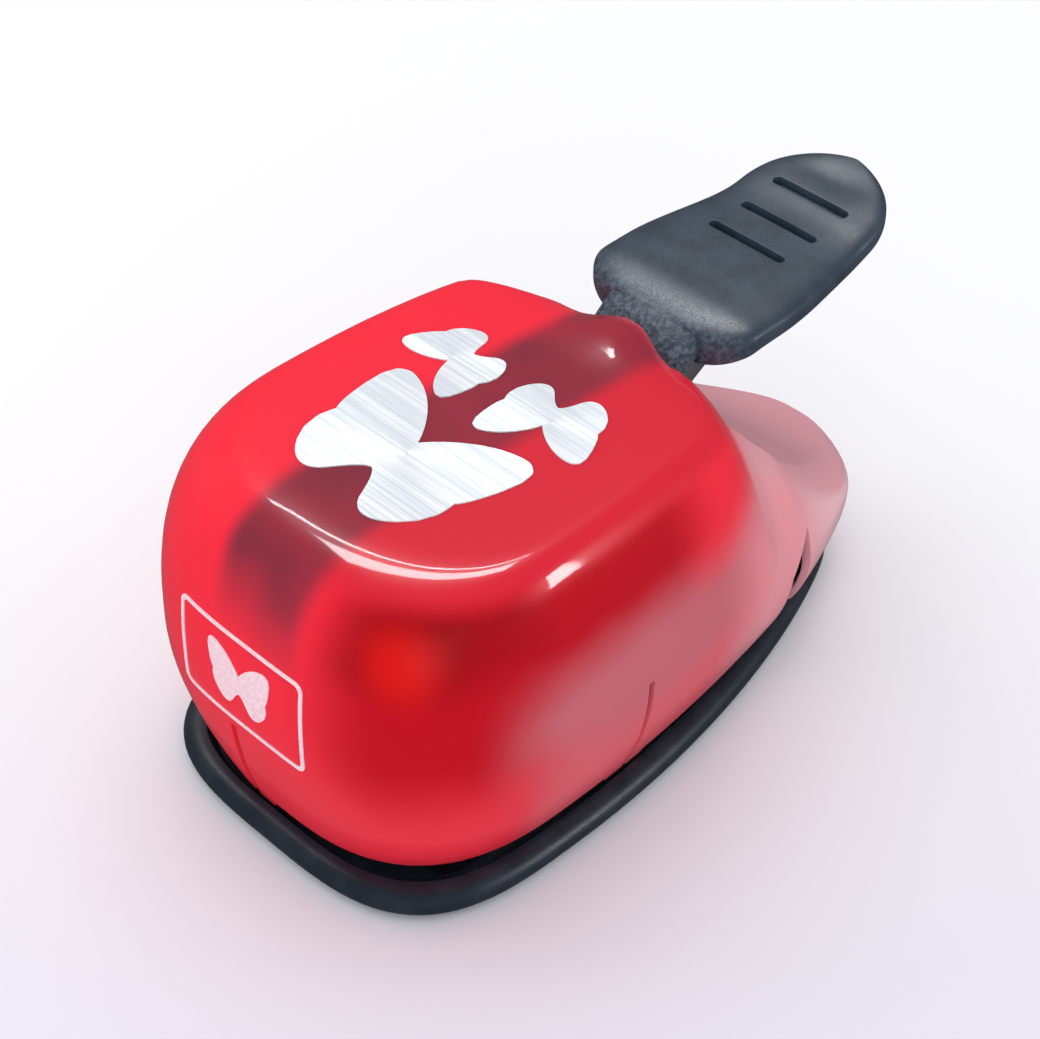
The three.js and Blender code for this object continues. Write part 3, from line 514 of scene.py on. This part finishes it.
def catmull(points, count):
    """Samples of the spline through the points."""
    last = len(points) - 1
    samples = []
    for i in range(count + 1):
        place = last * i / count
        k = min(int(place), last - 1)
        t = place - k
        p0, p1 = points[max(k - 1, 0)], points[k]
        p2, p3 = points[k + 1], points[min(k + 2, last)]
        found = []
        for a, b, c, d in zip(p0, p1, p2, p3):
            v0, v1 = (c - a) / 2, (d - b) / 2
            found.append((2 * b - 2 * c + v0 + v1) * t ** 3
                         + (-3 * b + 3 * c - 2 * v0 - v1) * t ** 2 + v0 * t + b)
        samples.append(tuple(found))
    return samples


def height_on(samples, y):
    if y <= samples[0][0]:
        return samples[0][1]
    for (ya, za), (yb, zb) in zip(samples, samples[1:]):
        if y <= yb:
            return za + (zb - za) * (y - ya) / max(yb - ya, 1e-9)
    return samples[-1][1]


# ---- Housing outline ----------------------------------------------------------------

TAIL_LENGTH = COVER_WAIST["tail"] - WAIST_Y


def eased(count, power=1.7):
    """Even steps along a squarish corner, as angles from 0 to a quarter turn."""
    found = []
    for i in range(count + 1):
        t = i / count
        found.append(math.pi / 2 * t ** power / (t ** power + (1 - t) ** power))
    return found


NOSE_ANGLES = eased(34)
TAIL_SHARES = ([(y - WAIST_Y) / TAIL_LENGTH
                for y in steps(WAIST_Y, 0, 18) + steps(0, 16, 20) + steps(16, 47, 20)]
               + [LAST_STATION + (1 - LAST_STATION) * math.sin(a) for a in steps(0, math.pi / 2, 12)])


def tail_width(share):
    cap = max(0.0, (share - TAIL_CAP) / (1 - TAIL_CAP))
    return math.sqrt(1 - (share * TAIL_TAPER) ** 2) * max(0.0, 1 - cap ** 3) ** (1 / 3)


def half_outline(plan):
    power = 2 / plan["square"]
    nose = [(plan["half"] * math.sin(a) ** power,
             WAIST_Y - (WAIST_Y - plan["front"]) * max(0.0, math.cos(a)) ** power)
            for a in NOSE_ANGLES]
    tail = [(plan["half"] * tail_width(s) * (1 - plan["narrow"] * s * s),
             WAIST_Y + (plan["tail"] - WAIST_Y) * s) for s in TAIL_SHARES]
    return nose + tail


def pinched(outline):
    """Draws the roof's outline in beside the lever's neck."""
    found = []
    for x, y in outline:
        near = ramp(y, PINCH["from"], PINCH["y"]) * ramp(y, PINCH["to"], PINCH["y"])
        found.append((x * (1 - PINCH["share"] * near), y))
    return found


def inset(plan, by):
    return {**plan, "half": plan["half"] - by, "front": plan["front"] + by,
            "tail": plan["tail"] - by}


def ring_of(half):
    """Mirrors a right half that starts and ends at x = 0."""
    return half + [(-x, y, z) for x, y, z in reversed(half[1:-1])]


def lerp(a, b, t):
    return a + (b - a) * t


def clamp(value):
    return min(1.0, max(0.0, value))


SCOOP_SAMPLES = catmull(SCOOP, 400)


def ramp(value, low, high):
    """Smooth step from 0 at low to 1 at high."""
    t = clamp((value - low) / (high - low))
    return t * t * (3 - 2 * t)


def roof_height(x, y, depth):
    """The roof and scoop; a hood carries the roof further back over the lever's neck."""
    hood = math.exp(-(x / HOOD["half"]) ** 2) * ramp(y, HOOD["y0"], HOOD["y1"])
    hood *= ramp(y, HOOD["y3"], HOOD["y2"])
    place, rise = y - HOOD["reach"] * hood, HOOD["rise"] * hood
    above = height_on(SCOOP_SAMPLES, place)
    if depth <= 0:
        return above + rise - depth
    return min(above, height_on(SCOOP_SAMPLES, place + depth)) + rise - depth * ROOF_WALL_SHARE


def shoulder(y, share):
    """How far in and up a shoulder has come: round at the front, cut off at a ridge behind."""
    t = ramp(y, RIDGE_FROM_Y, RIDGE_FULL_Y)
    power = 2 / lerp(SHOULDER_POWER, RIDGE_POWER, t)
    turn = math.radians(lerp(SHOULDER_TURN, RIDGE_TURN, t))
    inward = 1 - max(0.0, math.cos(turn * share)) ** power
    upward = math.sin(turn * share) ** power
    last = 1 - max(0.0, math.cos(turn)) ** power
    return inward / last, upward / math.sin(turn) ** power


def loft(name, rings):
    """Closed solid through rings that all list mirrored pairs of points about x = 0."""
    count = len(rings[0])
    points = [p for ring in rings for p in ring]
    faces = []
    for k in range(len(rings) - 1):
        low, high = k * count, (k + 1) * count
        for i in range(count):
            j = (i + 1) % count
            faces.append((low + i, low + j, high + j, high + i))
    for start, flip in ((0, True), ((len(rings) - 1) * count, False)):
        for i in range(count // 2):
            corner = [start + n for n in (i, i + 1, (count - i - 1) % count, (count - i) % count)]
            corner = list(dict.fromkeys(corner))
            faces.append(tuple(reversed(corner)) if flip else tuple(corner))
    thing = mesh_object(name, points, faces)
    weld(thing.data)
    return thing


def weld(mesh, distance=2e-6):
    work = bmesh.new()
    work.from_mesh(mesh)
    bmesh.ops.remove_doubles(work, verts=work.verts, dist=distance)
    bmesh.ops.recalc_face_normals(work, faces=work.faces)
    work.to_mesh(mesh)
    work.free()


def waist_height(x, y, depth):
    share = lerp(WAIST_SHARE, TAIL_WAIST_SHARE, ramp(y, RIDGE_FULL_Y, WAIST_RISE_END_Y))
    return share * roof_height(x, y, depth)


def housing(name, depth, bottom=SHELL_BOTTOM_Z, lower=12, upper=26, across=10):
    skirt, waist = (half_outline(inset(plan, depth)) for plan in (COVER_SKIRT, COVER_WAIST))
    roof = pinched(half_outline(inset(COVER_ROOF, depth * 0.5)))
    rings = []
    for v in [i / lower for i in range(lower + 1)]:
        ring = []
        for (wx, wy), (sx, sy) in zip(waist, skirt):
            t = (1 - v) ** 2
            x, y = lerp(wx, sx, t), lerp(wy, sy, t)
            ring.append((x, y, bottom + (waist_height(x, y, depth) - bottom) * v))
        rings.append(ring)
    for share in steps(0, 1, upper):
        ring = []
        for (wx, wy), (rx, ry) in zip(waist, roof):
            inward, upward = shoulder(wy, share)
            x, y = lerp(wx, rx, inward), lerp(wy, ry, inward)
            low, top = waist_height(x, y, depth), roof_height(x, y, depth)
            ring.append((x, y, lerp(low, top, upward)))
        rings.append(ring)
    for share in steps(1, 0, across)[:-1]:
        rings.append([(rx * share, ry, roof_height(rx * share, ry, depth)) for rx, ry in roof])
    return loft(name, [ring_of(ring) for ring in rings])


# ---- Plain cutters ------------------------------------------------------------------

def rounded_rectangle(x0, x1, y0, y1, radius, parts=8):
    found = []
    for cx, cy, start in ((x1 - radius, y0 + radius, -90), (x1 - radius, y1 - radius, 0),
                          (x0 + radius, y1 - radius, 90), (x0 + radius, y0 + radius, 180)):
        for i in range(parts + 1):
            angle = math.radians(start + 90 * i / parts)
            found.append((cx + radius * math.cos(angle), cy + radius * math.sin(angle)))
    return found


def carried(name, first, last):
    """A closed solid between two copies of an outline."""
    count = len(first)
    faces = [(i, (i + 1) % count, count + (i + 1) % count, count + i) for i in range(count)]
    faces += [tuple(reversed(range(count))), tuple(range(count, 2 * count))]
    return mesh_object(name, first + last, faces)


def prism(name, outline, z0, z1):
    """A plan outline carried from z0 to z1."""
    return carried(name, [(x, y, z0) for x, y in outline], [(x, y, z1) for x, y in outline])


def across(name, outline, x0, x1):
    """A side outline of (y, z) points carried from x0 to x1."""
    return carried(name, [(x0, y, z) for y, z in outline], [(x1, y, z) for y, z in outline])


def lengthwise(name, outline, y0, y1):
    """A front outline of (x, z) points carried from y0 to y1."""
    return carried(name, [(x, y0, z) for x, z in outline], [(x, y1, z) for x, z in outline])


def circle(x, y, radius, sides=32):
    return [(x + radius * math.cos(2 * math.pi * i / sides),
             y + radius * math.sin(2 * math.pi * i / sides)) for i in range(sides)]


# ---- Cover --------------------------------------------------------------------------

LEVER_OPENING = {"half": 12.8, "y0": 7.5, "y1": 27.5, "z0": 41, "corner": 4.5}
NOTCH = [(20, SKIRT_Z), (22, 22), (29.5, 29), (31, 0)]
SNAP = {"x": -7, "y": -27, "tab": 5, "slot": 0.8, "corner": 0.75,
        "front_top": 27, "side_top": 33}
TAB_REACH = 9


def lever_opening():
    """Plan outline: a rounded rectangle whose front edge follows the hood back."""
    half, corner = LEVER_OPENING["half"], LEVER_OPENING["corner"]
    rear = rounded_rectangle(-half, half, LEVER_OPENING["y0"], LEVER_OPENING["y1"], corner)
    front = [(x, LEVER_OPENING["y0"] + HOOD["reach"] * math.exp(-(x / HOOD["half"]) ** 2))
             for x in steps(-half, half, 24)]
    return [p for p in rear if p[1] > 20] + [(-half, front[0][1])] + front


def build_cover():
    cover = housing("cover", 0)
    combine(cover, housing("cavity", WALL, SHELL_BOTTOM_Z - 1, 8, 18))
    combine(cover, prism("opening", lever_opening(), LEVER_OPENING["z0"], 80))
    x, y, tab, slot = SNAP["x"], SNAP["y"], SNAP["tab"], SNAP["slot"]
    skirt = across("skirt", [(-100, 0), *reversed(NOTCH), (-100, SKIRT_Z)], -60, 60)
    for x0, x1, y0, y1 in ((x - tab, x + tab, -101, -70), (28, 61, y - tab, y + tab),
                           (-61, -28, y - tab, y + tab)):
        combine(skirt, prism("tab", rounded_rectangle(x0, x1, y0, y1, 1.2), -1, TAB_REACH))
    combine(cover, skirt)
    sides = rounded_rectangle(y - slot, y + slot, 4, SNAP["side_top"], SNAP["corner"])
    combine(cover, across("side_slots", sides, -60, 60))
    front = rounded_rectangle(x - slot, x + slot, 4, SNAP["front_top"], SNAP["corner"])
    combine(cover, lengthwise("front_slot", front, -100, -76))
    for x, y in COVER_SCREWS:
        boss = prism("boss", circle(x, y, SCREW_HOLE["boss"]), LAND_Z + 0.4, 22)
        combine(boss, housing("inside", 1, SHELL_BOTTOM_Z - 4, 6, 10), "INTERSECT")
        combine(boss, prism("pilot", circle(x, y, SCREW_HOLE["shank"], 20), 0, 15))
        combine(cover, boss, "UNION")
    bevel(cover, 0.3, 2, 50)
    smooth(cover, 34)
    return dress(cover, RED, "root", "cover_red", "cover_shell")


# ---- Base ---------------------------------------------------------------------------

def flat_ring(plan, z):
    return ring_of([(x, y, z) for x, y in half_outline(plan)])


def build_base():
    rings = []
    for degrees in range(-90, 91, 12):
        angle = math.radians(degrees)
        rings.append(flat_ring(inset(BASE_PLAN, RIM_RADIUS * (1 - math.cos(angle))),
                               RIM_RADIUS * (1 + math.sin(angle))))
    base = loft("base", rings)
    recess = [(RIM_WIDTH, LAND_Z), (RIM_WIDTH - 0.5, LAND_Z + 0.5), (RIM_WIDTH - 1, 5.4),
              (RIM_RADIUS + 0.4, 6.5)]
    combine(base, loft("recess", [flat_ring(inset(BASE_PLAN, d), z) for d, z in recess]))
    window = CHIP_WINDOW
    combine(base, prism("window", rounded_rectangle(-window["half"], window["half"],
                                                    window["y0"], window["y1"], 6), -1, 4))
    for x, y in FRAME_SCREWS + COVER_SCREWS:
        combine(base, prism("seat", circle(x, y, SCREW_HOLE["head"]), -1, 2))
        combine(base, prism("hole", circle(x, y, SCREW_HOLE["shank"], 20), 1, 4))
    bevel(base, 0.35, 2, 50)
    smooth(base, 34)
    return dress(base, BASE_DARK, "root", "base_dark", "base_tray")


# ---- Grip ---------------------------------------------------------------------------

GRIP_TOP_SAMPLES = catmull(GRIP_TOP, 240)
GRIP_UNDER_SAMPLES = catmull(GRIP_UNDER, 240)


def grip_half(y):
    widening = clamp((y - GRIP_SHOULDER["start"]) / GRIP_SHOULDER["length"])
    spread = math.sqrt(1 - (1 - widening) ** 2)
    t = clamp((y - PADDLE_TAPER["start"]) / PADDLE_TAPER["length"])
    paddle = lerp(PADDLE_HALF, PADDLE_NARROW, t * t * (3 - 2 * t))
    tip = clamp((y - TIP_START_Y) / TIP_REACH)
    return (NECK_HALF + (paddle - NECK_HALF) * spread) * math.sqrt(1 - tip * tip)


def grip_ring(y):
    top, under = height_on(GRIP_TOP_SAMPLES, y), height_on(GRIP_UNDER_SAMPLES, y)
    middle, half, width = (top + under) / 2, (top - under) / 2, grip_half(y)

    def rounded(value):
        return math.copysign(abs(value) ** (2 / GRIP_SQUARENESS), value)
    right = []
    for i in range(GRIP_SIDES + 1):
        angle = math.pi * i / GRIP_SIDES
        x = 0 if i in (0, GRIP_SIDES) else width * rounded(math.sin(angle))
        z = middle + half * rounded(math.cos(angle))
        away = (x / DISH["half_x"]) ** 2 + ((y - DISH["y"]) / DISH["half_y"]) ** 2
        dish = DISH["depth"] * math.exp(-away)
        right.append((x, y, z - dish if i < GRIP_SIDES // 2 else z))
    return ring_of(right)


def build_grip():
    start, length = GRIP_SHOULDER["start"], GRIP_SHOULDER["length"]
    stations = ([GRIP_START_Y] + steps(GRIP_START_Y, start, 14)
                + [start + length * (1 - math.cos(a)) for a in steps(0, math.pi / 2, 16)]
                + steps(start + length, TIP_START_Y, 40)
                + [TIP_START_Y + TIP_REACH * math.sin(a) for a in steps(0, TIP_TURN, 22)])
    grip = loft("grip", [grip_ring(y) for y in stations])
    roof = [(y, z + 1.4 * GAP) for y, z in ARM_TOPSIDE]
    rear = ARM_TOPSIDE[0][0] + 1
    side = ARM_HALF + GAP
    combine(grip, across("pocket", [(-38, 20), (rear, 20), (rear, roof[0][1])] + roof,
                         -side, side))
    for y, z in GRIP_SLOTS:
        half, wide = SLOT["length"] / 2, SLOT["width"] / 2
        combine(grip, prism("slot", rounded_rectangle(-half, half, y - wide, y + wide, wide),
                            z - SLOT["depth"], z + 6))
    bevel(grip, 0.35, 3, 45)
    smooth(grip, 50)
    return dress(grip, GRIP_DARK, "lever", "grip_dark", "lever_grip")


# ---- Foils and label ----------------------------------------------------------------

HEAD_NOTCH = (0, 4.1)
WING = [((3, 9), (9.5, 15), (16, 15.4)), ((19.8, 15.2), (19.8, 11.5), (18.8, 6.5)),
        ((18, 2.5), (17.4, 0.5), (16.4, -1)), ((17.6, -4.5), (16.5, -8.5), (13.5, -11.5)),
        ((11, -14.2), (7.5, -15.6), (5, -12)), ((3.4, -9.3), (1.8, -6.4), (0, -5.7))]
SCALLOPED = (1, 3)


def wing_outline(parts=14):
    """Right half of a butterfly 39 mm across, with fine scallops along its outer edges."""
    found = [HEAD_NOTCH]
    start = HEAD_NOTCH
    for index, (near, far, end) in enumerate(WING):
        for i in range(1, parts + 1):
            t = i / parts
            weights = ((1 - t) ** 3, 3 * t * (1 - t) ** 2, 3 * t * t * (1 - t), t ** 3)
            x, y = (sum(w * p[k] for w, p in zip(weights, (start, near, far, end)))
                    for k in (0, 1))
            if index in SCALLOPED:
                wave = 1 - 0.010 * abs(math.sin(math.pi * 3 * t)) * (1 - t) * 4 * t
                x, y = x * wave, y * wave
            found.append((x, y))
        start = end
    return found


def butterfly(x, y, span, turn):
    half = wing_outline()
    unit, angle = span / 39, math.radians(turn)
    whole = half + [(-u, v) for u, v in reversed(half[1:-1])]
    return [(x + unit * (u * math.cos(angle) - v * math.sin(angle)),
             y + unit * (u * math.sin(angle) + v * math.cos(angle))) for u, v in whole]


def filled(outline, spacing):
    """Triangles that fill an outline, with evenly spaced points inside."""
    points = [Vector(p) for p in outline]
    edges = list(zip(range(len(points)), [*range(1, len(points)), 0]))
    xs, ys = [p[0] for p in outline], [p[1] for p in outline]
    for i in range(1, int((max(xs) - min(xs)) / spacing) + 1):
        for j in range(1, int((max(ys) - min(ys)) / spacing) + 1):
            spot = (min(xs) + i * spacing, min(ys) + j * spacing)
            if inside(spot, outline):
                points.append(Vector(spot))
    flat, _, triangles, _, _, _ = delaunay_2d_cdt(points, edges, [], 0, 1e-5)
    flat = [tuple(p) for p in flat]
    kept = [tuple(tri) for tri in triangles
            if inside([sum(flat[i][k] for i in tri) / 3 for k in (0, 1)], outline)]
    return flat, kept


def inside(point, loop):
    hit = False
    for (x0, y0), (x1, y1) in zip(loop, loop[1:] + loop[:1]):
        if (y0 > point[1]) != (y1 > point[1]):
            if point[0] < (x1 - x0) * (point[1] - y0) / (y1 - y0) + x0:
                hit = not hit
    return hit


def drape(name, flat, triangles, cast, tree, low=SKIN_GAP, high=FOIL):
    """Lays flat triangles on a surface: cast turns a flat point into a ray."""
    lows, highs = [], []
    for u, v in flat:
        origin, direction = cast(u, v)
        spot, normal, _, _ = tree.ray_cast(origin, direction)
        if spot is None:
            raise RuntimeError(f"{name} misses the housing at {u:.1f}, {v:.1f}")
        lows.append(spot + normal * mm(low))
        highs.append(spot + normal * mm(high))
    count = len(flat)
    use = {}
    for tri in triangles:
        for a, b in zip(tri, tri[1:] + tri[:1]):
            key = (min(a, b), max(a, b))
            use.setdefault(key, []).append((a, b))
    faces = [tuple(count + i for i in tri) for tri in triangles]
    faces += [tuple(reversed(tri)) for tri in triangles]
    faces += [(a, b, count + b, count + a) for pairs in use.values() if len(pairs) == 1
              for a, b in pairs]
    mesh = bpy.data.meshes.new(name)
    mesh.from_pydata(lows + highs, [], faces)
    mesh.validate()
    recalculate(mesh)
    return smooth(link(bpy.data.objects.new(name, mesh)), 40)


def build_skins():
    skin = housing("skin", 0)
    tree = BVHTree.FromObject(skin, bpy.context.evaluated_depsgraph_get())

    def down(x, y):
        return at(x, y, 120), Vector((0, 0, -1))

    def back(x, z):
        return at(x, -140, z), Vector((0, 1, 0))

    for name, placing in BUTTERFLIES.items():
        flat, triangles = filled(butterfly(*placing), 1.6)
        foil = drape(f"foil_skin_{name}", flat, triangles, down, tree)
        dress(foil, FOIL_METAL, "root", "foil_silver", f"foil_{name}")
    outer = rounded_rectangle(LABEL["x0"], LABEL["x1"], LABEL["z0"], LABEL["z1"], 2)
    line = LABEL["line"]
    inner = rounded_rectangle(LABEL["x0"] + line, LABEL["x1"] - line, LABEL["z0"] + line,
                              LABEL["z1"] - line, 1.4)
    flat, triangles = frame_strip(outer, inner)
    label = drape("label_line", flat, triangles, back, tree, SKIN_GAP, PRINT_TOP)
    dress(label, PRINT, "root", "label_white", "label_frame")
    centre = ((LABEL["x0"] + LABEL["x1"]) / 2, (LABEL["z0"] + LABEL["z1"]) / 2)
    flat, triangles = filled(butterfly(*centre, 17, 0), 1.2)
    icon = drape("label_butterfly", flat, triangles, back, tree, SKIN_GAP, PRINT_TOP)
    dress(icon, PRINT, "root", "label_white", "label_icon")
    bpy.data.objects.remove(skin)


def frame_strip(outer, inner):
    """Triangles between two loops of equal length, with long sides cut into short ones."""
    def dense(loop):
        found = []
        for (x0, y0), (x1, y1) in zip(loop, loop[1:] + loop[:1]):
            parts = 12 if math.hypot(x1 - x0, y1 - y0) > 5 else 1
            found += [(lerp(x0, x1, i / parts), lerp(y0, y1, i / parts)) for i in range(parts)]
        return found
    big, small = dense(outer), dense(inner)
    count = len(big)
    faces = []
    for i in range(count):
        j = (i + 1) % count
        faces += [(i, j, count + j), (i, count + j, count + i)]
    return big + small, faces


# ---- Inner works --------------------------------------------------------------------

def refined(name, material, slot, width, segments=2):
    """A CAD node again, with its flat facets joined up and its edges rounded."""
    source = NODES[name]
    body = source["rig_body"]
    mesh = source.data.copy()
    piece = link(bpy.data.objects.new(f"{name}_finished", mesh))
    work = bmesh.new()
    work.from_mesh(mesh)
    bmesh.ops.remove_doubles(work, verts=work.verts, dist=5e-6)
    bmesh.ops.dissolve_limit(work, angle_limit=math.radians(2), verts=work.verts,
                             edges=work.edges)
    work.to_mesh(mesh)
    work.free()
    if width:
        bevel(piece, width, segments, 35)
    smooth(piece, 40)
    return dress(piece, material, body, slot, name)


def coil(side, x):
    """A return spring: a round wire swept along a helix and closed at both ends."""
    turns, ring, sides = SPRING["turns"], 40, 12
    count = int(turns * ring)
    points, faces = [], []
    for i in range(count + 1):
        share = i / count
        angle = share * turns * 2 * math.pi
        rise = lerp(SPRING["z0"], SPRING["z1"], share)
        for k in range(sides):
            turn = 2 * math.pi * k / sides
            reach = SPRING["radius"] + SPRING["wire"] * math.cos(turn)
            points.append((x + reach * math.cos(angle), POST["y"] + reach * math.sin(angle),
                           rise + SPRING["wire"] * math.sin(turn)))
    for i in range(count):
        for k in range(sides):
            j = (k + 1) % sides
            faces.append((i * sides + k, i * sides + j, (i + 1) * sides + j, (i + 1) * sides + k))
    faces += [tuple(range(sides)), tuple(reversed(range(count * sides, (count + 1) * sides)))]
    spring = smooth(mesh_object(f"spring_{side}", points, faces), 50)
    dress(spring, STEEL, "root", "steel", f"return_spring_{side}")
    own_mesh(spring)


def build_works():
    for name in ("guide_plate", "paper_stop", "bush_left", "bush_right"):
        refined(name, INNER, "inner_plastic", 0.3)
    for name in ("die_plate", "punch_large", "punch_small_left", "punch_small_right"):
        refined(name, TOOL_STEEL, "tool_steel", 0.12)
    for name in ("pressure_plate", "press_block", "pivot_bracket"):
        refined(name, STEEL, "steel", 0.3)
    refined("lever_arm", ARM_STEEL, "steel", 0.3)
    for name in NODES:
        if name.startswith(("frame_screw", "cover_screw", "bracket_screw", "grip_screw",
                            "punch_screw", "guide_post", "pivot_pin", "press_pin",
                            "press_roller", "pin_clip")):
            refined(name, STEEL, "steel", 0)
    for side, x in (("left", -POST["x"]), ("right", POST["x"])):
        coil(side, x)


# ---- Assembly -----------------------------------------------------------------------

build_cover()
build_base()
build_grip()
build_skins()
build_works()

floor = mesh_object("floor", [(-3000, -3000, 0), (3000, -3000, 0), (3000, 3000, 0),
                              (-3000, 3000, 0)], [(0, 1, 2, 3)], floor_paint())
floor.location.z = -0.0001
floor.visible_glossy = False
